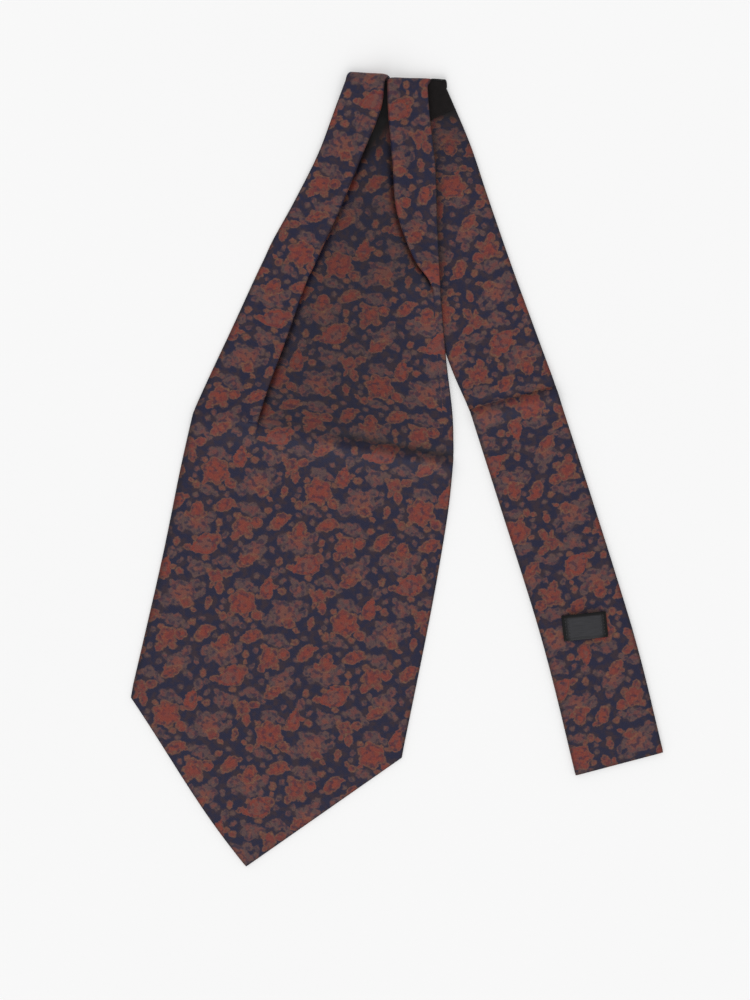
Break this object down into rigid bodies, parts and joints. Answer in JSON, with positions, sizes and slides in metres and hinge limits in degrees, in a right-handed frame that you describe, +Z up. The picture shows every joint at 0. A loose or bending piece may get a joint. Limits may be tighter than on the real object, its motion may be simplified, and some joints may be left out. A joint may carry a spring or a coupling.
{
  "type": "silk cravat",
  "caption": "Printed silk cravat lying flat, folded at the neck: wide pleated blade with a pointed end over a narrow square-ended tail with a black keeper loop.",
  "frame": {"origin": "on the surface the cravat lies on, under the middle of its outline", "axes": "+Y from the blade's point towards the neck fold, +X from the blade towards the tail, +Z up from the surface"},
  "size_m": [0.327, 0.489, 0.0126],
  "materials": {
    "printed_silk": "printed silk twill, soft sheen",
    "black_satin": "black satin ribbon",
    "dark_lining": "matt dark lining cloth"
  },
  "bodies": {
    "root": {"front_blade": "printed_silk", "neck_band": "printed_silk", "tail_strip": "printed_silk", "keeper_loop": "black_satin", "neck_lining": "dark_lining"}
  },
  "joints": []
}
